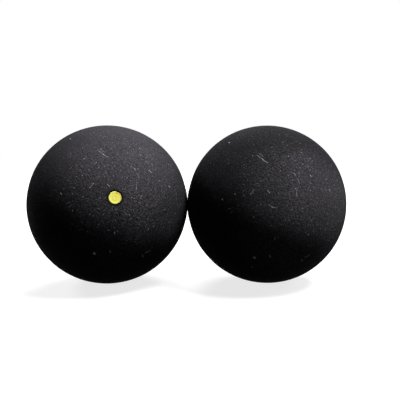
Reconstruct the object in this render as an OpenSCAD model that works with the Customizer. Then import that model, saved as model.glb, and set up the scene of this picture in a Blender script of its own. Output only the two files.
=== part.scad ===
// A pair of squash balls that lie side by side on a table and just touch.
// Each ball is two moulded rubber half shells, cemented rim to rim round an air space.
// One painted dot lies in a shallow seat at the pole of one half shell.
// Millimetres, +Z up, origin on the table below the place where the balls meet.

/* [Balls] */
// Outside diameter of each ball
ball_d = 40; // [38:0.5:42]
// Thickness of the rubber wall
wall_t = 5.2; // [4:0.2:7]
// Gap between the balls where they all but touch
ball_gap = 0.05; // [0.05:0.05:1]

/* [Seam] */
// Thickness of the cured cement between the two rims
cement_t = 0.1; // [0.06:0.02:0.3]
// Width of the chamfer inside each rim, which the spare cement fills
rim_chamfer_w = 0.6; // [0.3:0.1:1.5]
// Depth of the fine line that the cement leaves outside
seam_line_depth = 0.04; // [0.02:0.01:0.1]

/* [Dot] */
// Diameter of the moulded seat for the painted dot
seat_d = 3.1; // [2:0.1:6]
// Depth of the seat below the pole of the ball
seat_depth = 0.26; // [0.22:0.02:0.6]
// Thickness of the paint in the seat
paint_t = 0.14; // [0.08:0.02:0.2]
// Width of the bare ring between the paint and the wall of its seat
paint_clear = 0.16; // [0.02:0.02:0.3]

/* [Dot places] */
// Angle of the first ball's dot from the front, turned towards the second ball
dot_1_turn_angle = 13.6; // [0:0.1:40]
// Angle of the first ball's dot above level
dot_1_tilt_angle = 10.5; // [0:0.1:60]
// Angle of the second ball's dot from the front, turned away from the first ball
dot_2_turn_angle = 169; // [90:1:180]
// Angle of the second ball's dot above level
dot_2_tilt_angle = 1; // [0:0.1:60]

/* [Hidden] */
$fn = 360;

ball_r = ball_d / 2;
bore_r = ball_r - wall_t;
seat_r = seat_d / 2;
paint_r = seat_r - paint_clear;
seat_floor_z = ball_r - seat_depth;
rim_z = cement_t / 2;
cement_r = ball_r - seam_line_depth;
ball_centre_x = ball_r + ball_gap / 2;
// Every cut runs on by this much past the face that it opens
overrun = wall_t / 4;

rubber_colour = [0.20, 0.20, 0.21];
cement_colour = [0.13, 0.13, 0.14];
paint_colour = [0.94, 0.91, 0.40];

// Sets a ball's piece down in its place, with the dot's axis turned from +Z to the front
module place_ball(side, turn_angle, tilt_angle) {
    translate([side * ball_centre_x, 0, ball_r])
        rotate([0, 0, turn_angle])
            rotate([90 - tilt_angle, 0, 0])
                children();
}

// One moulded half shell above its rim, with the chamfer inside the rim
module half_shell() {
    difference() {
        sphere(r = ball_r);
        sphere(r = bore_r);
        below_rim();
        chamfer_cone();
    }
}

// Everything below the flat rim of a half shell
module below_rim() {
    side = 2 * (ball_r + overrun);
    translate([-side / 2, -side / 2, rim_z - side])
        cube(side);
}

// The cone that chamfers a rim inside and runs on into the air space
module chamfer_cone() {
    reach = rim_chamfer_w + overrun;
    translate([0, 0, rim_z])
        cylinder(h = reach, r1 = bore_r + rim_chamfer_w, r2 = bore_r + rim_chamfer_w - reach);
}

// The half shell that carries the seat of the dot at its pole
module dotted_half() {
    color(rubber_colour)
        difference() {
            half_shell();
            translate([0, 0, seat_floor_z])
                cylinder(h = seat_depth + overrun, r = seat_r);
        }
}

// The other half shell, which has no seat
module plain_half() {
    color(rubber_colour)
        mirror([0, 0, 1])
            half_shell();
}

// The cement film between the rims, with the bead that fills both chamfers
module seam_cement() {
    color(cement_colour)
        difference() {
            union() {
                translate([0, 0, -rim_z])
                    cylinder(h = cement_t, r = cement_r);
                chamfer_cone();
                mirror([0, 0, 1])
                    chamfer_cone();
            }
            sphere(r = bore_r);
        }
}

// The paint, flat where it lies on the floor of its seat and domed outside as the ball is
module yellow_dot() {
    color(paint_colour)
        intersection() {
            translate([0, 0, seat_floor_z])
                cylinder(h = seat_depth, r = paint_r);
            sphere(r = seat_floor_z + paint_t);
        }
}

// The first ball lies at -X, its dot to the front
module place_ball_1() {
    place_ball(-1, dot_1_turn_angle, dot_1_tilt_angle)
        children();
}

module ball_1_dotted_half() {
    place_ball_1() dotted_half();
}

module ball_1_plain_half() {
    place_ball_1() plain_half();
}

module ball_1_seam_cement() {
    place_ball_1() seam_cement();
}

module ball_1_yellow_dot() {
    place_ball_1() yellow_dot();
}

// The second ball lies at +X, its dot turned to the back
module place_ball_2() {
    place_ball(1, dot_2_turn_angle, dot_2_tilt_angle)
        children();
}

module ball_2_dotted_half() {
    place_ball_2() dotted_half();
}

module ball_2_plain_half() {
    place_ball_2() plain_half();
}

module ball_2_seam_cement() {
    place_ball_2() seam_cement();
}

module ball_2_yellow_dot() {
    place_ball_2() yellow_dot();
}

ball_1_dotted_half();
ball_1_plain_half();
ball_1_seam_cement();
ball_1_yellow_dot();
ball_2_dotted_half();
ball_2_plain_half();
ball_2_seam_cement();
ball_2_yellow_dot();
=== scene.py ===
"""A pair of matt black squash balls, one with its yellow dot to the front, on a white table."""
from math import cos, pi, radians, sin, sqrt

import bpy
from mathutils import Matrix, Vector


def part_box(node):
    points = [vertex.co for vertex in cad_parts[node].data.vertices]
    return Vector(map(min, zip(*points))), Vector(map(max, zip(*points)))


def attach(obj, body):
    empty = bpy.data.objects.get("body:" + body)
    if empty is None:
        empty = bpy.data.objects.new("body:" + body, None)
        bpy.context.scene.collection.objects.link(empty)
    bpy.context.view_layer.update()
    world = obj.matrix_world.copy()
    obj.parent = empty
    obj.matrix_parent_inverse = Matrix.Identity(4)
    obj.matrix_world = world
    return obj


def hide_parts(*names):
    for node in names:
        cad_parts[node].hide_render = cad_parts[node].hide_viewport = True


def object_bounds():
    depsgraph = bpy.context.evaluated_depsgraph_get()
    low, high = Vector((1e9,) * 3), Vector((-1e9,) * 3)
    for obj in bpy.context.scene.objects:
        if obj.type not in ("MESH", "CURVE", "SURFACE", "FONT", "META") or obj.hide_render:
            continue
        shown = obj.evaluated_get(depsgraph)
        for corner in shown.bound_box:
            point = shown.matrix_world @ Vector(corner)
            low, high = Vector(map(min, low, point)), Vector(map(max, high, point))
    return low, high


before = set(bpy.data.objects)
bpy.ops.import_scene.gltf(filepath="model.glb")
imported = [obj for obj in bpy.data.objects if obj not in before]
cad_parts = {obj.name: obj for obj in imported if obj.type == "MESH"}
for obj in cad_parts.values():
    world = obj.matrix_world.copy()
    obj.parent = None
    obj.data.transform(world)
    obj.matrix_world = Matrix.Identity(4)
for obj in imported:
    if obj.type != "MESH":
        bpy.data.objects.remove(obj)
cad_low, cad_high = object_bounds()


# The camera stands almost level in front of the pair, close enough that each ball is seen a
# little from the side and looks wider than it is high. The scuffs further down are placed as
# they are seen from here.
MM = 0.001
VIEW_TURN = radians(0.82)
VIEW_FALL = radians(6.0)
VIEW_DISTANCE = 124.75 * MM
VIEW_RIGHT = 3.221 * MM
VIEW_UP = 1.09 * MM
LENS = 43.79
SENSOR = 36.0
NEAR_CLIP = 1.0 * MM

pair_middle = (cad_low + cad_high) / 2
ahead = Vector((sin(VIEW_TURN) * cos(VIEW_FALL), cos(VIEW_TURN) * cos(VIEW_FALL), -sin(VIEW_FALL)))
rightward = Vector((cos(VIEW_TURN), -sin(VIEW_TURN), 0))
upward = rightward.cross(ahead)
eye = pair_middle + rightward * VIEW_RIGHT + upward * VIEW_UP - ahead * VIEW_DISTANCE


def axes_at(right, up, back, place):
    """The matrix of something at a place, given the ways of its own X, Y and Z."""
    return Matrix.Translation(place) @ Matrix((right, up, back)).transposed().to_4x4()


bpy.ops.object.camera_add()
camera = bpy.context.object
camera.name = "camera"
camera.matrix_world = axes_at(rightward, upward, -ahead, eye)
camera.data.lens = LENS
camera.data.sensor_width = SENSOR
camera.data.clip_start = NEAR_CLIP
bpy.context.scene.camera = camera


# Each ball is two bowls of black rubber, moulded under heat and then buffed. A bowl is 5.2 mm
# thick, its flat rim is chamfered inside, and its outer edge is rounded where the joint is
# buffed. One bowl of each ball has a shallow round seat at its pole for the painted dot.
WALL = 5.2 * MM
CEMENT = 0.1 * MM
RIM_CHAMFER = 0.6 * MM
EDGE_ROUND = 0.09 * MM
EDGE_SHOULDER_SHARE = 0.25
SEAT_R = 1.55 * MM
SEAT_DEPTH = 0.26 * MM
SEAT_LIP = 0.09 * MM
# The two steps of the seat's rounded lip, outwards and upwards as shares of its size
SEAT_LIP_SHARES = ((1 / 3, 2 / 3), (5 / 3, 5 / 3))
SEAT_FILLET = 0.05 * MM
SEAT_FILLET_STEPS = 2
SEAT_SIDES = 128
SKIN_DETAIL = 8
BORE_DETAIL = 6
WELD = 0.03 * MM
SMOOTH_ANGLE = radians(40)

ball_r = (cad_high.z - cad_low.z) / 2
bore_r = ball_r - WALL
rim_z = CEMENT / 2

# The chamfer slopes at 45 degrees from the rim up to the wall of the air space
chamfer_r = bore_r + RIM_CHAMFER
chamfer_reach = chamfer_r + rim_z
chamfer_top_z = (chamfer_reach - sqrt(2 * bore_r ** 2 - chamfer_reach ** 2)) / 2
chamfer_top = (chamfer_reach - chamfer_top_z, chamfer_top_z)


def ball_middle(number):
    """The middle of a ball, from the boxes of its two half shells."""
    boxes = [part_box(f"ball_{number}_{half}_half") for half in ("dotted", "plain")]
    low = Vector(map(min, boxes[0][0], boxes[1][0]))
    high = Vector(map(max, boxes[0][1], boxes[1][1]))
    return (low + high) / 2


def dot_way(number):
    """The way that a ball's dot faces, from the box of the CAD dot."""
    low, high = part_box(f"ball_{number}_yellow_dot")
    return ((low + high) / 2 - ball_middle(number)).normalized()


def ball_axes(number, way):
    """Axes at a ball's middle: Z the given way, X to the right of someone who faces it."""
    right = Vector((0, 0, 1)).cross(way).normalized()
    return axes_at(right, way.cross(right), way, ball_middle(number))


def cut_sphere(radius, detail, low_z):
    """Starts a bowl as a sphere of even triangles, cut off at a height, its cut edge selected."""
    bpy.ops.object.select_all(action="DESELECT")
    bpy.ops.mesh.primitive_ico_sphere_add(subdivisions=detail, radius=radius)
    bpy.ops.object.mode_set(mode="EDIT")
    bpy.ops.mesh.select_mode(type="VERT")
    bpy.ops.mesh.select_all(action="SELECT")
    bpy.ops.mesh.bisect(plane_co=(0, 0, low_z), plane_no=(0, 0, 1), clear_inner=True)
    bpy.ops.mesh.remove_doubles(threshold=WELD)


def draw_on(old, new):
    """Extrudes the selected edge loop from one radius and height to the next."""
    bpy.ops.mesh.extrude_region_move()
    share = new[0] / old[0]
    bpy.ops.transform.resize(value=(share, share, 1), center_override=(0, 0, 0))
    bpy.ops.transform.translate(value=(0, 0, new[1] - old[1]))


def draw_through(rings):
    """Extrudes the selected edge loop, which is the first ring, through all the others."""
    for old, new in zip(rings, rings[1:]):
        draw_on(old, new)


def select_open_edges():
    """Selects the edges that have a face on one side alone."""
    bpy.ops.mesh.select_all(action="DESELECT")
    bpy.ops.mesh.select_non_manifold(
        extend=False, use_wire=False, use_boundary=True,
        use_multi_face=False, use_non_contiguous=False, use_verts=False)


def face_outwards():
    """Turns every face of the mesh in edit mode outwards."""
    bpy.ops.mesh.select_all(action="SELECT")
    bpy.ops.mesh.normals_make_consistent(inside=False)


def model_bowl(name):
    """Models a half shell at the origin, its pole up and its rim just above the ground."""
    # the outer skin, its edge rounded in two steps
    edge_z = rim_z + EDGE_ROUND
    edge = (sqrt(ball_r ** 2 - edge_z ** 2), edge_z)
    shoulder_cut = EDGE_ROUND * EDGE_SHOULDER_SHARE
    shoulder = (ball_r - shoulder_cut, rim_z + shoulder_cut)
    rim = (ball_r - EDGE_ROUND, rim_z)
    cut_sphere(ball_r, SKIN_DETAIL, edge_z)
    draw_through([edge, shoulder, rim])
    bpy.ops.object.mode_set(mode="OBJECT")
    bowl = bpy.context.object

    # the wall of the air space, turned to face inwards, and the chamfer below it
    cut_sphere(bore_r, BORE_DETAIL, chamfer_top_z)
    bpy.ops.mesh.select_all(action="SELECT")
    bpy.ops.mesh.flip_normals()
    select_open_edges()
    draw_on(chamfer_top, (chamfer_r, rim_z))
    bpy.ops.object.mode_set(mode="OBJECT")

    # the flat rim between the two
    bowl.select_set(True)
    bpy.context.view_layer.objects.active = bowl
    bpy.ops.object.join()
    bpy.ops.object.mode_set(mode="EDIT")
    select_open_edges()
    bpy.ops.mesh.bridge_edge_loops()
    face_outwards()
    bpy.ops.object.mode_set(mode="OBJECT")
    bowl.name = name
    return bowl


def select_level(piece, level):
    """In edit mode, selects the vertices of a piece that lie at one height."""
    bpy.ops.mesh.select_all(action="DESELECT")
    bpy.ops.object.mode_set(mode="OBJECT")
    for vertex in piece.data.vertices:
        vertex.select = abs(vertex.co.z - level) < WELD
    bpy.ops.object.mode_set(mode="EDIT")


def cut_seat(bowl):
    """Sinks the dot's seat into the pole, with a fillet at its floor and a rounded lip."""
    floor_z = ball_r - SEAT_DEPTH
    lip_z = sqrt(ball_r ** 2 - SEAT_R ** 2) - SEAT_LIP
    bpy.ops.object.select_all(action="DESELECT")
    bpy.ops.mesh.primitive_cylinder_add(
        vertices=SEAT_SIDES, radius=SEAT_R, depth=lip_z - floor_z,
        location=(0, 0, (lip_z + floor_z) / 2), end_fill_type="NGON")
    cutter = bpy.context.object
    bpy.ops.object.transform_apply(location=True, rotation=True, scale=True)
    bpy.ops.object.mode_set(mode="EDIT")
    bpy.ops.mesh.select_mode(type="VERT")
    select_level(cutter, floor_z)
    bpy.ops.mesh.bevel(offset=SEAT_FILLET, segments=SEAT_FILLET_STEPS, affect="EDGES")
    select_level(cutter, lip_z)
    lip = [(SEAT_R, lip_z)]
    lip += [(SEAT_R + SEAT_LIP * out, lip_z + SEAT_LIP * up) for out, up in SEAT_LIP_SHARES]
    past_pole = (lip[-1][0], ball_r + SEAT_LIP)
    draw_through(lip + [past_pole])
    face_outwards()
    bpy.ops.object.mode_set(mode="OBJECT")
    bpy.context.view_layer.objects.active = bowl
    seat = bowl.modifiers.new("seat", "BOOLEAN")
    seat.operation = "DIFFERENCE"
    seat.solver = "EXACT"
    seat.object = cutter
    bpy.ops.object.modifier_apply(modifier=seat.name)
    bpy.data.objects.remove(cutter)


def copy_of(piece, name):
    """A copy of a piece with a mesh of its own."""
    twin = piece.copy()
    twin.data = piece.data.copy()
    twin.name = name
    bpy.context.scene.collection.objects.link(twin)
    return twin


def set_down(piece, axes):
    """Turns and moves a piece to its place on the ball, and leaves the place in its mesh."""
    piece.matrix_world = axes
    bpy.ops.object.select_all(action="DESELECT")
    piece.select_set(True)
    bpy.context.view_layer.objects.active = piece
    bpy.ops.object.transform_apply(location=True, rotation=True, scale=True)


# The buffing leaves the rubber faintly uneven: broad shallow waves and a fine grain, both
# inwards from the true sphere. Where the two balls bear on each other these fade out, and each
# skin lies flat along its neighbour and a hair proud round about.
CONTACT_REACH = 5.0 * MM
CONTACT_SWELL = 0.075 * MM
CONTACT_GAP = 0.005 * MM
SKIN_SLACK = 0.0075 * MM
WAVE_SIZE = 5.0 * MM
WAVE_DEPTH = 0.03 * MM
GRAIN_SIZE = 0.5 * MM
GRAIN_DEPTH = 0.012 * MM


def cloud(name, size, depth):
    """A cloudy pattern of lumps of one size."""
    pattern = bpy.data.textures.new(name, "CLOUDS")
    pattern.noise_scale = size
    pattern.noise_depth = depth
    return pattern


def sink(piece, pattern, depth, share_of=""):
    """Presses a cloudy pattern into a piece, or into one vertex group of it."""
    relief = piece.modifiers.new(pattern.name, "DISPLACE")
    relief.texture = pattern
    relief.texture_coords = "LOCAL"
    relief.direction = "NORMAL"
    relief.mid_level = 1
    relief.strength = depth
    relief.vertex_group = share_of
    bpy.ops.object.modifier_apply(modifier=relief.name)


buffed_waves = cloud("buffed_waves", WAVE_SIZE, 1)
buffed_grain = cloud("buffed_grain", GRAIN_SIZE, 2)


def buff(shell, middle):
    """Works the waves and the grain into a half shell's outer skin, and swells its contact."""
    # a new group moves the others in memory, so both are there before either is filled
    shell.vertex_groups.new(name="skin")
    shell.vertex_groups.new(name="contact")
    skin, contact = shell.vertex_groups
    for vertex in shell.data.vertices:
        if (vertex.co - middle).length > ball_r - SKIN_SLACK:
            from_contact = vertex.co - pair_middle
            nearness = (1 - min(1, from_contact.length / CONTACT_REACH) ** 4) ** 2
            room = abs(from_contact.x) - CONTACT_GAP / 2
            skin.add([vertex.index], 1 - nearness, "REPLACE")
            contact.add([vertex.index], nearness * min(1, room / CONTACT_SWELL), "REPLACE")
    sink(shell, buffed_waves, WAVE_DEPTH, "skin")
    sink(shell, buffed_grain, GRAIN_DEPTH, "skin")
    swell = shell.modifiers.new("swell", "DISPLACE")
    swell.mid_level = 0
    swell.strength = CONTACT_SWELL
    swell.vertex_group = "contact"
    bpy.ops.object.modifier_apply(modifier=swell.name)
    bpy.ops.object.shade_smooth_by_angle(angle=SMOOTH_ANGLE)


plain_bowl = model_bowl("plain_bowl")
dotted_bowl = copy_of(plain_bowl, "dotted_bowl")
cut_seat(dotted_bowl)

half_shells = {}
for number in (1, 2):
    for half, bowl, side in (("dotted", dotted_bowl, 1), ("plain", plain_bowl, -1)):
        shell = copy_of(bowl, f"ball_{number}_{half}_shell")
        set_down(shell, ball_axes(number, side * dot_way(number)))
        buff(shell, ball_middle(number))
        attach(shell, f"ball_{number}")
        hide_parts(f"ball_{number}_{half}_half")
        half_shells[number, half] = shell
bpy.data.objects.remove(plain_bowl)
bpy.data.objects.remove(dotted_bowl)


# Black rubber goes grey where it is scuffed. The skin of a ball is all short hairlines and specks
# of pale rubber dust, thickest where it is rubbed most, over a dull black ground. The thick patch
# lies partly, and a pale wash over the dust wholly, as painted light where each ball looks most
# lit.
RUBBER_BLACK = (0.0100, 0.0096, 0.0108, 1)
RUBBER_PALE = (0.300, 0.284, 0.320, 1)
RUBBER_ROUGHNESS = 0.78
SCUFF_ROUGHNESS = 0.90
RUBBER_GLOSS = 0.002
# Each layer of hairlines and specks: how far apart they lie, their half length and half width in
# millimetres, how strongly they bend, how pale they are, and what sets their scatter apart
HAIR_LAYERS = (
    (2.4, 1.00, 0.085, 0.9, 1.00, 0.0),
    (2.0, 0.85, 0.080, 1.2, 0.90, 11.3),
    (1.6, 0.65, 0.075, 1.6, 0.65, 23.7),
    (1.3, 0.50, 0.070, 2.0, 0.55, 37.1),
    (1.1, 0.42, 0.070, 2.5, 0.55, 41.9),
    (0.9, 0.32, 0.070, 3.0, 0.55, 53.3),
    (1.9, 0.18, 0.160, 0.0, 4.50, 67.7),
    (1.1, 0.13, 0.120, 0.0, 3.00, 79.1),
    (1.4, 0.15, 0.140, 0.0, 3.50, 97.3),
)
# The shortest hairline, as a share of the longest of its layer
HAIR_SHORTEST_SHARE = 0.35
# The scuffs that stand out, as the camera sees them: both ends in millimetres to the right of
# the ball's middle and above it, half width, and how pale they are, where more than 1 is white
# dust off a wall. The first ones are on both balls and the others on the second one alone.
SCUFFS = (
    ((-2.6, 12.1), (-1.3, 11.1), 0.14, 0.9),
    ((-1.3, 11.1), (-0.2, 10.4), 0.14, 1.0),
    ((-2.0, 12.4), (-1.2, 11.8), 0.11, 0.6),
    ((-4.1, 3.6), (-3.4, 4.5), 0.15, 1.0),
    ((5.2, 8.1), (6.0, 7.2), 0.12, 0.8),
    ((6.0, 7.2), (6.5, 5.9), 0.11, 0.6),
    ((5.8, 3.4), (6.0, 4.8), 0.12, 0.7),
    ((-10.4, 2.3), (-10.2, 2.2), 0.20, 1.0),
    ((-7.5, 3.6), (-7.3, 3.5), 0.17, 0.9),
    ((13.7, 4.2), (13.8, 4.0), 0.20, 1.0),
    ((-3.2, -10.8), (-3.1, -11.0), 0.34, 3.2),
    ((0.3, -10.2), (0.4, -10.7), 0.27, 1.5),
    ((8.2, -11.2), (9.5, -10.5), 0.20, 1.3),
    ((7.5, -11.7), (7.7, -12.0), 0.25, 2.0),
    ((-9.5, 0.0), (-8.4, 0.5), 0.12, 0.6),
    ((-8.6, -0.7), (-7.9, -0.3), 0.11, 0.5),
    ((-9.1, 15.4), (-9.0, 15.2), 0.24, 0.9),
    ((-1.9, 1.4), (-1.8, 1.4), 0.17, 0.8),
    ((-0.4, 4.4), (0.1, 3.8), 0.14, 0.8),
    ((9.2, 7.5), (9.5, 7.2), 0.17, 0.9),
    ((1.1, -6.1), (1.2, -6.4), 0.24, 1.8),
    ((1.7, -5.7), (1.9, -5.9), 0.15, 1.0),
    ((8.6, -5.4), (8.8, -5.8), 0.16, 0.8),
    ((9.7, -4.9), (9.9, -5.2), 0.13, 0.6),
    ((7.9, -5.0), (8.1, -5.2), 0.14, 0.6),
    ((6.1, -2.8), (6.3, -3.0), 0.13, 0.5),
    ((10.6, -3.3), (10.8, -3.5), 0.14, 0.6),
    ((-2.3, -4.4), (-2.1, -4.6), 0.15, 0.7),
)
SECOND_SCUFFS = (
    ((-0.2, 1.3), (0.6, 0.8), 0.14, 0.9),
    ((0.6, 0.8), (1.6, 0.6), 0.13, 0.8),
    ((-3.7, -13.4), (-3.6, -13.5), 0.32, 1.25),
    ((8.6, -1.6), (8.7, -1.7), 0.16, 0.3),
    ((-3.6, -1.0), (-3.4, -1.3), 0.18, 1.3),
)
# The second ball lies turned a little down and to the right of how the first one lies
SECOND_DOWN = radians(4.2)
SECOND_RIGHT = radians(2.6)
# Where each ball is scratched most, a patch that is partly painted light, and where a pale wash of
# painted light lies over its dust: the way right, up and toward the camera
WEAR_AND_LIGHT_WAY = {1: (0.24, 0.18, 0.95), 2: (0.44, 0.00, 0.90)}
PAINTED_LIGHT_WAY = {1: (0.10, 0.70, 0.71), 2: (0.45, -0.22, 0.87)}
# Such a patch from its edge to its heart, as cosines of the angle from its way
PATCH_EDGE = 0.50
PATCH_HEART = 1.0
# The noise of the grain, of the worn patches and of what bends the scuffs: lumps to a
# millimetre, detail and roughness
GRAIN_NOISE = (2.4, 2, 0.8)
PATCH_NOISE = (0.12, 2, 0.5)
BEND_NOISE = (0.9, 1, 0.5)
BEND_REACH = 0.6
# Where the noise turns to grain and to a worn patch, and how worn the rest stays
GRAIN_EDGES = (0.36, 0.64)
PATCH_EDGES = (0.35, 0.65, 0.6, 1)
# How few of the hairlines are pale, how far they, the grain and the scuffs each lighten the
# rubber, the share of a scuff's width that is whole, and how far the grain stands out
HAIR_RARITY = 3.0
HAIR_SHARE = 0.32
GRAIN_SHARE = 0.14
SCUFF_SHARE = 0.8
SCUFF_CORE_SHARE = 0.2
GRAIN_HEIGHT = 1.0
# The share of the hairlines and grain, and of the even dust with its painted light, from the edge
# of a patch to its heart
WEAR_AND_LIGHT_SHARES = (0.26, 1.0)
DUST_AND_PAINTED_LIGHT_SHARES = {1: (0.006, 0.066), 2: (0.0, 0.061)}
# How far from the ball's middle the scuffs begin, and where they are whole, in millimetres
SKIN_REACH = (19.84, 19.94)
# The same from the dot's middle, and the share of the scuffs that its lip keeps, so that a ring of
# painted shade lies round the dot
LIP_REACH = (1.6, 2.2)
LIP_SHARE = 0.2
# How far a hairline is pushed aside where it crosses another
HAIR_NUDGE = (0.06, 0.06, -0.06)
SCRATCH_RELIEF = 0.07 * MM


def add_node(tree, kind, inputs=None, **settings):
    """Adds a shader node, with its options set and each input joined or given its value."""
    made = tree.nodes.new("ShaderNode" + kind)
    for option, value in settings.items():
        setattr(made, option, value)
    for socket, value in (inputs or {}).items():
        if isinstance(value, bpy.types.NodeSocket):
            tree.links.new(value, made.inputs[socket])
        else:
            made.inputs[socket].default_value = value
    return made


def maths(tree, operation, first, second=0.0, third=0.0, clamp=False):
    """One sum on numbers."""
    inputs = {0: first, 1: second, 2: third}
    return add_node(tree, "Math", inputs, operation=operation, use_clamp=clamp).outputs[0]


def vector(tree, operation, first, second=(0, 0, 0), third=(0, 0, 0)):
    """One sum on vectors, whose answer may be a number."""
    made = add_node(tree, "VectorMath", {0: first, 1: second, 2: third}, operation=operation)
    return made.outputs["Value" if operation in ("DOT_PRODUCT", "LENGTH") else "Vector"]


def fade(tree, value, start, end, low=0.0, high=1.0):
    """Eases from one number to another as a value passes from its start to its end."""
    inputs = {"Value": value, "From Min": start, "From Max": end, "To Min": low, "To Max": high}
    made = add_node(tree, "MapRange", inputs, interpolation_type="SMOOTHSTEP", clamp=False)
    return made.outputs[0]


def noise(tree, place, rate, detail, roughness):
    """A cloudy noise of so many lumps to a unit of place."""
    inputs = {"Vector": place, "Scale": rate, "Detail": detail, "Roughness": roughness}
    return add_node(tree, "TexNoise", inputs).outputs


def mix(tree, share, first, second, clamp=True):
    """A colour between two others, or even past the second one where clamp is off."""
    inputs = {"Factor": share, "A": first, "B": second}
    return add_node(tree, "Mix", inputs, data_type="RGBA", clamp_factor=clamp).outputs["Result"]


def start_material(name):
    """A new material, and the tree that its nodes go into."""
    material = bpy.data.materials.new(name)
    material.use_nodes = True
    return material, material.node_tree


def place_in_mm(tree, middle=(0, 0, 0), turn=(0, 0, 0)):
    """The place in millimetres from a middle, along axes that are turned so."""
    inputs = {
        "Vector": add_node(tree, "TexCoord").outputs["Object"], "Location": middle,
        "Rotation": turn, "Scale": (MM, MM, MM)}
    return add_node(tree, "Mapping", inputs, vector_type="TEXTURE").outputs[0]


def set_surface(tree, colour, roughness, gloss, height, depth):
    """Gives a material its colour, roughness, gloss, and a relief: its height and its depth."""
    relief = add_node(tree, "Bump", {"Height": height, "Distance": depth, "Strength": 1})
    shader = tree.nodes["Principled BSDF"]
    tree.links.new(colour, shader.inputs["Base Color"])
    tree.links.new(relief.outputs[0], shader.inputs["Normal"])
    tree.links.new(roughness, shader.inputs["Roughness"])
    shader.inputs["Specular IOR Level"].default_value = gloss


def start_group(name, *inputs):
    """An empty node group with the named inputs, its first inputs vectors, and one output."""
    tree = bpy.data.node_groups.new(name, "ShaderNodeTree")
    for label, kind in inputs:
        tree.interface.new_socket(label, in_out="INPUT", socket_type="NodeSocket" + kind)
    tree.interface.new_socket("Mark", in_out="OUTPUT", socket_type="NodeSocketFloat")
    given = tree.nodes.new("NodeGroupInput").outputs
    result = tree.nodes.new("NodeGroupOutput").inputs["Mark"]
    return tree, given, result


def scattered_hairs():
    """A layer of short bent hairlines, one to each cell of a scatter, laid flat on the ball."""
    tree, given, result = start_group(
        "scattered_hairs", ("Place", "Vector"), ("Outward", "Vector"), ("Rate", "Float"),
        ("Half length", "Float"), ("Half width", "Float"), ("Bend", "Float"))
    cell = add_node(tree, "TexVoronoi", {"Vector": given["Place"], "Scale": given["Rate"]}).outputs
    dice = add_node(tree, "TexWhiteNoise", {"Vector": cell["Position"]}).outputs["Color"]
    dice = add_node(tree, "SeparateColor", {"Color": dice}).outputs
    dice = add_node(tree, "CombineXYZ", {"X": dice[0], "Y": dice[1], "Z": dice[2]}).outputs[0]
    draw = add_node(tree, "SeparateColor", {"Color": cell["Color"]}).outputs
    from_middle = vector(tree, "SUBTRACT", given["Place"], cell["Position"])
    tumbled = vector(tree, "SUBTRACT", dice, (0.5, 0.5, 0.5))
    sideways = vector(tree, "NORMALIZE", vector(tree, "CROSS_PRODUCT", given["Outward"], tumbled))
    lengthways = vector(tree, "CROSS_PRODUCT", given["Outward"], sideways)
    along = vector(tree, "DOT_PRODUCT", from_middle, lengthways)
    across = vector(tree, "DOT_PRODUCT", from_middle, sideways)
    bend = maths(tree, "MULTIPLY", maths(tree, "SUBTRACT", draw["Red"], 0.5), given["Bend"])
    bow = maths(tree, "MULTIPLY", maths(tree, "MULTIPLY", along, along), bend)
    reach = fade(tree, draw["Green"], 0, 1, HAIR_SHORTEST_SHARE, 1)
    reach = maths(tree, "MULTIPLY", given["Half length"], reach)
    along_share = maths(tree, "DIVIDE", along, reach)
    across_share = maths(tree, "DIVIDE", maths(tree, "SUBTRACT", across, bow), given["Half width"])
    spread = maths(tree, "MULTIPLY", along_share, along_share)
    spread = maths(tree, "MULTIPLY_ADD", across_share, across_share, spread)
    paleness = maths(tree, "POWER", draw["Blue"], HAIR_RARITY)
    mark = fade(tree, spread, 0, 1, 1, 0)
    tree.links.new(maths(tree, "MULTIPLY", mark, paleness), result)
    return tree


def single_scuff():
    """One scuff from its start along its run, all in millimetres from the ball's middle."""
    tree, given, result = start_group(
        "single_scuff", ("Place", "Vector"), ("Start", "Vector"), ("Run", "Vector"),
        ("Run squared", "Float"), ("Half width", "Float"))
    past_start = vector(tree, "SUBTRACT", given["Place"], given["Start"])
    so_far = vector(tree, "DOT_PRODUCT", past_start, given["Run"])
    share = maths(tree, "MINIMUM", maths(tree, "DIVIDE", so_far, given["Run squared"]), 1)
    share = maths(tree, "MAXIMUM", share, 0)
    nearest = add_node(
        tree, "VectorMath", {"Vector": given["Run"], "Scale": share}, operation="SCALE")
    gap = vector(tree, "LENGTH", vector(tree, "SUBTRACT", past_start, nearest.outputs[0]))
    gap_share = maths(tree, "DIVIDE", gap, given["Half width"])
    tree.links.new(fade(tree, gap_share, SCUFF_CORE_SHARE, 1, 1, 0), result)
    return tree


def add_layer(tree, group, inputs, strength, pale, height):
    """Adds the marks of one node group to the paleness, so strong, and to the height."""
    mark = add_node(tree, "Group", inputs, node_tree=group).outputs["Mark"]
    return maths(tree, "MULTIPLY_ADD", mark, strength, pale), maths(tree, "ADD", mark, height)


def on_ball(seen):
    """The point on the ball, in millimetres, that is seen so far right of and above its middle."""
    return Vector((*seen, sqrt((ball_r / MM) ** 2 - seen[0] ** 2 - seen[1] ** 2)))


def patch(tree, outward, way, shares):
    """Eases from one share to the other as the ball's skin turns to a way or its opposite."""
    facing = vector(tree, "DOT_PRODUCT", outward, Vector(way).normalized())
    return fade(tree, maths(tree, "ABSOLUTE", facing), PATCH_EDGE, PATCH_HEART, *shares)


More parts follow.
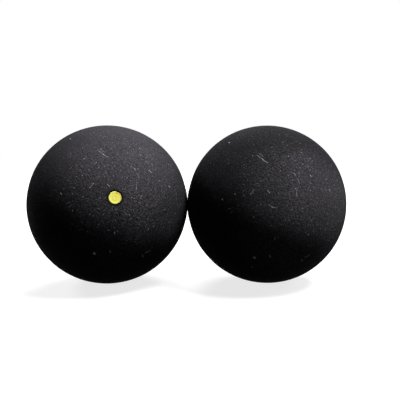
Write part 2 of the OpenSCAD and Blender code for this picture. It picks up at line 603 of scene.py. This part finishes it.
def scuffed_rubber(number, hairs, scuff):
    """Black rubber for one ball, its scuffs set out about the way that faces the camera."""
    material, tree = start_material(f"scuffed_rubber_{number}")

    # millimetres from the ball's middle: X to the right, Y up, Z to the camera
    toward = (eye - ball_middle(number)).normalized()
    right = (rightward - toward * rightward.dot(toward)).normalized()
    front = axes_at(right, toward.cross(right), toward, (0, 0, 0)).to_3x3()
    if number == 2:
        front = front @ Matrix.Rotation(SECOND_DOWN, 3, "X") @ Matrix.Rotation(SECOND_RIGHT, 3, "Y")
    place = place_in_mm(tree, ball_middle(number), front.to_euler())
    outward = vector(tree, "NORMALIZE", place)

    # the scuffs that stand out, none of them quite straight
    bent = vector(tree, "SUBTRACT", noise(tree, place, *BEND_NOISE)["Color"], (0.5, 0.5, 0.5))
    bent = add_node(tree, "VectorMath", {"Vector": bent, "Scale": BEND_REACH}, operation="SCALE")
    bent_place = vector(tree, "ADD", place, bent.outputs[0])
    scuffs = scuff_height = 0.0
    for start, end, half_width, strength in SCUFFS + (SECOND_SCUFFS if number == 2 else ()):
        run = on_ball(end) - on_ball(start)
        inputs = {
            "Place": bent_place, "Start": on_ball(start), "Run": run,
            "Run squared": run.length_squared, "Half width": half_width}
        scuffs, scuff_height = add_layer(
            tree, scuff, inputs, strength * SCUFF_SHARE, scuffs, scuff_height)

    # the layers of hairlines and specks, scattered afresh on each ball, and each one nudged
    # a little where it crosses those before it
    marks = height = 0.0
    for spacing, half_length, half_width, bend, strength, apart in HAIR_LAYERS:
        shift = (apart, apart * number, -apart)
        nudge = vector(tree, "MULTIPLY_ADD", marks, HAIR_NUDGE, shift) if apart else shift
        inputs = {
            "Place": vector(tree, "ADD", place, nudge),
            "Outward": outward, "Rate": 1 / spacing, "Half length": half_length,
            "Half width": half_width, "Bend": bend}
        marks, height = add_layer(tree, hairs, inputs, strength, marks, height)

    # a fine grain between them, all of it thicker where the ball is worn, which is partly painted
    # light, over an even dust that pales toward one side as painted light
    grain = fade(tree, noise(tree, place, *GRAIN_NOISE)[0], *GRAIN_EDGES)
    lumps = fade(tree, noise(tree, place, *PATCH_NOISE)[0], *PATCH_EDGES)
    # the worn patch and the dust's pale wash both lie toward where the ball looks lit, as painted
    # light
    wear_and_painted_light = maths(tree, "MULTIPLY", patch(tree, outward, WEAR_AND_LIGHT_WAY[number], WEAR_AND_LIGHT_SHARES), lumps)
    dust_and_painted_light = patch(tree, outward, PAINTED_LIGHT_WAY[number], DUST_AND_PAINTED_LIGHT_SHARES[number])
    pale = maths(tree, "MULTIPLY", marks, HAIR_SHARE)
    pale = maths(tree, "MULTIPLY_ADD", grain, GRAIN_SHARE, pale)
    pale = maths(tree, "MULTIPLY_ADD", pale, wear_and_painted_light, dust_and_painted_light)
    pale = maths(tree, "ADD", maths(tree, "MINIMUM", pale, 1), scuffs)

    # neither the air space nor the dot's seat has scuffs, and few reach the lip of the seat, which
    # leaves a ring of painted shade round the dot
    skin = fade(tree, vector(tree, "LENGTH", place), *SKIN_REACH)
    dot_middle = front.transposed() @ dot_way(number) * ball_r / MM
    from_dot = vector(tree, "LENGTH", vector(tree, "SUBTRACT", place, dot_middle))
    skin = maths(tree, "MULTIPLY", skin, fade(tree, from_dot, *LIP_REACH, LIP_SHARE, 1))
    pale = maths(tree, "MULTIPLY", pale, skin)
    height = maths(tree, "MULTIPLY_ADD", grain, GRAIN_HEIGHT, height)
    height = maths(tree, "MULTIPLY_ADD", height, wear_and_painted_light, scuff_height)
    colour = mix(tree, pale, RUBBER_BLACK, RUBBER_PALE, clamp=False)
    rough = fade(tree, pale, 0, 1, RUBBER_ROUGHNESS, SCUFF_ROUGHNESS)
    set_surface(tree, colour, rough, RUBBER_GLOSS, height, SCRATCH_RELIEF)
    return material


hairs = scattered_hairs()
scuff = single_scuff()
for number in (1, 2):
    rubber = scuffed_rubber(number, hairs, scuff)
    for half in ("dotted", "plain"):
        half_shells[number, half].data.materials.append(rubber)


# A film of rubber cement joins the two rims of each ball. What is squeezed out inside fills the
# chamfers and sets in a rounded bead, and outside it stops just short of the skin.
CEMENT_SIDES = 360
CEMENT_LINE = 0.04 * MM
BEAD_SWELL = 0.10 * MM
# The heights of the bead's two inner steps, as shares of the chamfer's
BEAD_SHARES = (0.6, 0.25)
BEAD_LUMP = 1.6 * MM
BEAD_LUMP_DEPTH = 0.07 * MM
CEMENT_BLACK = (0.030, 0.030, 0.031, 1)
CEMENT_GREY = (0.055, 0.055, 0.057, 1)
CEMENT_GLOSS = 0.05
# The noise of the streaks, as above, where it turns from black to grey, and where and between
# which values it roughens the cement
STREAK_NOISE = (0.8, 4, 0.6)
STREAK_EDGES = (0.4, 0.7)
STREAK_ROUGHNESS = (0.3, 0.8, 0.45, 0.70)
DRIED_RELIEF = 0.007 * MM


def model_cement_ring(name):
    """Models the cement flat on the ground, from its thin outer edge in to its bead and back."""
    outer = ball_r - CEMENT_LINE
    upper = [(outer, rim_z), (chamfer_r, rim_z), chamfer_top]
    for share in BEAD_SHARES:
        height = chamfer_top_z * share
        upper.append((sqrt(bore_r ** 2 - height ** 2) - BEAD_SWELL * (1 - share ** 2), height))
    lower = [(radius, -height) for radius, height in reversed(upper)]
    rings = upper + [(bore_r - BEAD_SWELL, 0)] + lower
    bpy.ops.object.select_all(action="DESELECT")
    bpy.ops.mesh.primitive_circle_add(
        vertices=CEMENT_SIDES, radius=outer, location=(0, 0, rim_z), fill_type="NOTHING")
    ring = bpy.context.object
    bpy.ops.object.transform_apply(location=True, rotation=True, scale=True)
    bpy.ops.object.mode_set(mode="EDIT")
    bpy.ops.mesh.select_mode(type="VERT")
    bpy.ops.mesh.select_all(action="SELECT")
    draw_through(rings)
    select_open_edges()
    bpy.ops.mesh.bridge_edge_loops()
    face_outwards()
    bpy.ops.object.mode_set(mode="OBJECT")
    ring.name = name
    return ring


def cured_cement():
    """Satin black cement with faint grey streaks where the solvent dried."""
    material, tree = start_material("cured_cement")
    streaks = noise(tree, place_in_mm(tree), *STREAK_NOISE)[0]
    colour = mix(tree, fade(tree, streaks, *STREAK_EDGES), CEMENT_BLACK, CEMENT_GREY)
    rough = fade(tree, streaks, *STREAK_ROUGHNESS)
    set_surface(tree, colour, rough, CEMENT_GLOSS, streaks, DRIED_RELIEF)
    return material


cement_ring = model_cement_ring("cement_ring")
bead_lumps = cloud("bead_lumps", BEAD_LUMP, 1)
cement = cured_cement()
for number in (1, 2):
    ring = copy_of(cement_ring, f"ball_{number}_cement_ring")
    set_down(ring, ball_axes(number, dot_way(number)))
    inner = ring.vertex_groups.new(name="bead")
    middle = ball_middle(number)
    inside = [v.index for v in ring.data.vertices if (v.co - middle).length < bore_r - WELD]
    inner.add(inside, 1, "REPLACE")
    sink(ring, bead_lumps, BEAD_LUMP_DEPTH, inner.name)
    bpy.ops.object.shade_smooth_by_angle(angle=SMOOTH_ANGLE)
    ring.data.materials.append(cement)
    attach(ring, f"ball_{number}")
    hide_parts(f"ball_{number}_seam_cement")
bpy.data.objects.remove(cement_ring)


# The dot is a drop of thick yellow paint dabbed into its seat. It dries with a raised edge and a
# faint ring in its middle, and it stops short of the seat's wall, so black rubber shows round it.
PAINT_SIDES = 128
PAINT_R = 1.39 * MM
PAINT_EDGE = 0.04 * MM
# The paint's top from its edge inwards: radius as a share of the paint's, and height in millimetres
PAINT_TOP = (
    (0.97, 0.115), (0.92, 0.140), (0.85, 0.140), (0.76, 0.118), (0.62, 0.110),
    (0.50, 0.108), (0.40, 0.118), (0.30, 0.122), (0.20, 0.108), (0.10, 0.100),
)
# The nicks in its edge: to the right and up in millimetres, and how deep
PAINT_NICKS = (((0.62, 1.20), 0.16), ((0.60, -1.25), 0.07))
NICK_REACH = 0.30 * MM
PAINT_GRAIN = 0.35 * MM
PAINT_GRAIN_DEPTH = 0.012 * MM
PAINT_YELLOW = (0.97, 0.89, 0.085, 1)
PAINT_LEMON = (0.98, 0.96, 0.19, 1)
PAINT_OCHRE = (0.72, 0.40, 0.05, 1)
PAINT_GLOSS = 0.5
# The middle and width of the ring in the paint, and the side where ochre along the edge is a
# painted shadow of the seat's wall: its way right and up, as seen by someone who faces the dot
RING_MIDDLE = 0.36
RING_WIDTH = 0.12
RING_STAIN = 0.22
WALL_SHADOW_WAY = (0.90, 0.44, 0)
# The noises of the paint: lumps to a millimetre, detail and roughness
MOTTLE_NOISE = (2.2, 3, 0.6)
GRIME_NOISE = (5, 3, 0.7)
# Each pair is where something begins and where it is whole: radii as shares of the paint's,
# distances from the nick in millimetres, or the noise. Two more numbers are how much of it
# there is at the one and at the other.
POOLED_RIM = (0.55, 0.92)
POOLED_MOTTLE = (0.3, 0.6, 0.5, 1)
LEMON_MOTTLE = (0.4, 0.65, 0.3, 0.9)
NICK_DIRT = (0.15, 0.75, 0.9, 0)
WALL_SHADOW_SIDE = (0.3, 0.9)
WALL_SHADOW_RIM = (0.74, 0.96)
DIRT_AND_SHADOW_MOTTLE = (0.35, 0.6, 0.6, 1)
GRIME_SPECKS = (0.55, 0.72, 0, 0.35)
GRIME_RIM = (0, 1, 0.5, 1)
PAINT_ROUGHNESS = (0.3, 0.7, 0.55, 0.75)


def model_paint(name):
    """Models the paint at the ball's pole, ring by ring from its foot to the middle of its top."""
    floor_z = ball_r - SEAT_DEPTH
    bpy.ops.object.select_all(action="DESELECT")
    bpy.ops.mesh.primitive_circle_add(
        vertices=PAINT_SIDES, radius=PAINT_R - PAINT_EDGE / 2, location=(0, 0, floor_z),
        fill_type="NGON")
    paint = bpy.context.object
    bpy.ops.object.transform_apply(location=True, rotation=True, scale=True)
    rings = [(PAINT_R - PAINT_EDGE / 2, floor_z), (PAINT_R, floor_z + PAINT_EDGE)]
    rings += [(PAINT_R * share, floor_z + height * MM) for share, height in PAINT_TOP]
    bpy.ops.object.mode_set(mode="EDIT")
    bpy.ops.mesh.select_mode(type="VERT")
    bpy.ops.mesh.select_all(action="SELECT")
    draw_through(rings)
    bpy.ops.mesh.poke()
    face_outwards()
    for (across, up), depth in PAINT_NICKS:
        middle = Vector((across, up, 0)) * MM
        bpy.ops.mesh.select_all(action="DESELECT")
        bpy.ops.object.mode_set(mode="OBJECT")
        nearest = min(paint.data.vertices, key=lambda v: (v.co.xy - middle.xy).length)
        nearest.select = True
        bpy.ops.object.mode_set(mode="EDIT")
        bpy.ops.transform.translate(
            value=-middle.normalized() * depth * MM, use_proportional_edit=True,
            proportional_edit_falloff="SMOOTH", proportional_size=NICK_REACH)
    bpy.ops.object.mode_set(mode="OBJECT")
    paint.name = name
    return paint


def dabbed_paint(number):
    """Flat yellow paint, paler where it pooled, dirty at its nick, and with a painted shadow on one
    edge.
    """
    material, tree = start_material(f"dabbed_paint_{number}")
    axes = ball_axes(number, dot_way(number))
    place = place_in_mm(tree, axes.translation, axes.to_euler())
    flat = vector(tree, "MULTIPLY", place, (1, 1, 0))
    radius = maths(tree, "DIVIDE", vector(tree, "LENGTH", flat), PAINT_R / MM)

    # lemon at the pooled rim and all round the thin ring in the middle
    mottle = noise(tree, place, *MOTTLE_NOISE)[0]
    rim = fade(tree, radius, *POOLED_RIM)
    rim = maths(tree, "MULTIPLY", rim, fade(tree, mottle, *POOLED_MOTTLE))
    from_ring = maths(tree, "ABSOLUTE", maths(tree, "SUBTRACT", radius, RING_MIDDLE))
    ring = fade(tree, from_ring, 0, RING_WIDTH, 1, 0)
    lemon = maths(tree, "ADD", fade(tree, mottle, *LEMON_MOTTLE), rim)
    lemon = maths(tree, "SUBTRACT", lemon, ring)
    colour = mix(tree, lemon, PAINT_YELLOW, PAINT_LEMON)

    # thin ochre at the nick, and along the edge on that side a painted shadow of the seat's wall
    nick = Vector((*PAINT_NICKS[0][0], 0))
    from_nick = vector(tree, "LENGTH", vector(tree, "SUBTRACT", flat, nick))
    dirt_and_shadow = fade(tree, from_nick, *NICK_DIRT)
    # painted shadow: the paint's edge turns ochre on the side where the seat's wall shades it
    towards = vector(tree, "DOT_PRODUCT", vector(tree, "NORMALIZE", flat), WALL_SHADOW_WAY)
    edge = fade(tree, towards, *WALL_SHADOW_SIDE)
    edge = maths(tree, "MULTIPLY", edge, fade(tree, radius, *WALL_SHADOW_RIM))
    dirt_and_shadow = maths(tree, "MAXIMUM", dirt_and_shadow, edge)
    dirt_and_shadow = maths(tree, "MULTIPLY", dirt_and_shadow, fade(tree, mottle, *DIRT_AND_SHADOW_MOTTLE))
    grime = fade(tree, noise(tree, place, *GRIME_NOISE)[0], *GRIME_SPECKS)
    grime = maths(tree, "MULTIPLY", grime, fade(tree, radius, *GRIME_RIM))
    # the ring, the dirt, the grime and the painted shadow all turn the paint towards ochre
    stain_and_shadow = maths(tree, "MULTIPLY_ADD", ring, RING_STAIN, maths(tree, "ADD", dirt_and_shadow, grime))
    stained_and_shaded = mix(tree, stain_and_shadow, colour, PAINT_OCHRE)
    rough = fade(tree, mottle, *PAINT_ROUGHNESS)
    set_surface(tree, stained_and_shaded, rough, PAINT_GLOSS, mottle, DRIED_RELIEF)
    return material


paint_drop = model_paint("paint_drop")
paint_grain = cloud("paint_grain", PAINT_GRAIN, 1)
for number in (1, 2):
    dot = copy_of(paint_drop, f"ball_{number}_dot_paint")
    set_down(dot, ball_axes(number, dot_way(number)))
    sink(dot, paint_grain, PAINT_GRAIN_DEPTH)
    bpy.ops.object.shade_smooth_by_angle(angle=SMOOTH_ANGLE)
    dot.data.materials.append(dabbed_paint(number))
    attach(dot, f"ball_{number}")
    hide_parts(f"ball_{number}_yellow_dot")
bpy.data.objects.remove(paint_drop)


# The pair lies on a wide white table with nothing behind it. The table shows white to the eye
# and in reflections, keeps a soft shadow, and throws next to no light back up.
TABLE_SIZE = 4.0
TABLE_WHITE = (1, 1, 1, 1)
TABLE_GLOW = 0.78
TABLE_SHADED = (0.35, 0.35, 0.35, 1)
TABLE_DARK = (0.02, 0.02, 0.02, 1)
GLOW_NEAR = 0.10
GLOW_FAR = 0.60


def seen_directly(tree):
    """One for light that reaches the eye, or does so by a reflection or through glass."""
    path = add_node(tree, "LightPath").outputs
    seen = maths(tree, "ADD", path["Is Camera Ray"], path["Is Glossy Ray"])
    return maths(tree, "ADD", seen, path["Is Transmission Ray"], clamp=True)


bpy.ops.object.select_all(action="DESELECT")
bpy.ops.mesh.primitive_plane_add(size=TABLE_SIZE)
table = bpy.context.object
table.name = "table"
white, tree = start_material("white_table")
tree.nodes.clear()
from_pair = vector(tree, "LENGTH", add_node(tree, "TexCoord").outputs["Object"])
glow = add_node(
    tree, "Emission",
    {"Color": TABLE_WHITE, "Strength": fade(tree, from_pair, GLOW_NEAR, GLOW_FAR, TABLE_GLOW, 1)})
shaded = add_node(tree, "BsdfDiffuse", {"Color": TABLE_SHADED})
bright = add_node(tree, "AddShader", {0: glow.outputs[0], 1: shaded.outputs[0]})
dark = add_node(tree, "BsdfDiffuse", {"Color": TABLE_DARK})
surface = add_node(
    tree, "MixShader", {0: seen_directly(tree), 1: dark.outputs[0], 2: bright.outputs[0]})
add_node(tree, "OutputMaterial", {"Surface": surface.outputs[0]})
table.data.materials.append(white)


# One large soft lamp high on the right lights the balls. Two faint ones fill their right sides
# and fronts, and two behind catch the upper rims and keep the left side from going quite black.
LAMPS = (
    # name, degrees to the right of the front, degrees up, distance, diameter, brightness
    ("key_softbox", 68, 63, 0.50, 0.20, 1.47),
    ("side_softbox", 91, 35, 0.50, 0.16, 0.16),
    ("rear_softbox", 180, 40, 0.50, 0.20, 0.85),
    ("left_rear_softbox", 240, 34, 0.50, 0.16, 0.36),
    ("front_softbox", 30, 38, 0.50, 0.16, 0.02),
)
# The light that the room itself throws on the balls, where white would be 1
FILL = 0.006


def soft_lamp(name, turn, tilt, distance, width, brightness):
    """A round softbox that lights a white surface at the pair to the given brightness."""
    turn = radians(turn)
    tilt = radians(tilt)
    way = Vector((sin(turn) * cos(tilt), -cos(turn) * cos(tilt), sin(tilt)))
    bpy.ops.object.light_add(type="AREA")
    lamp = bpy.context.object
    lamp.name = name
    lamp.location = pair_middle + way * distance
    lamp.rotation_euler = way.to_track_quat("Z", "Y").to_euler()
    lamp.data.shape = "DISK"
    lamp.data.size = width
    lamp.data.energy = 4 * pi * distance ** 2 * brightness


for lamp in LAMPS:
    soft_lamp(*lamp)

world = bpy.data.worlds.new("white_room")
bpy.context.scene.world = world
world.use_nodes = True
tree = world.node_tree
level = maths(tree, "MULTIPLY_ADD", seen_directly(tree), 1 - FILL, FILL)
tree.links.new(level, tree.nodes["Background"].inputs["Strength"])
tree.nodes["Background"].inputs["Color"].default_value = TABLE_WHITE
bpy.context.scene.view_settings.view_transform = "Standard"

bpy.context.view_layer.update()
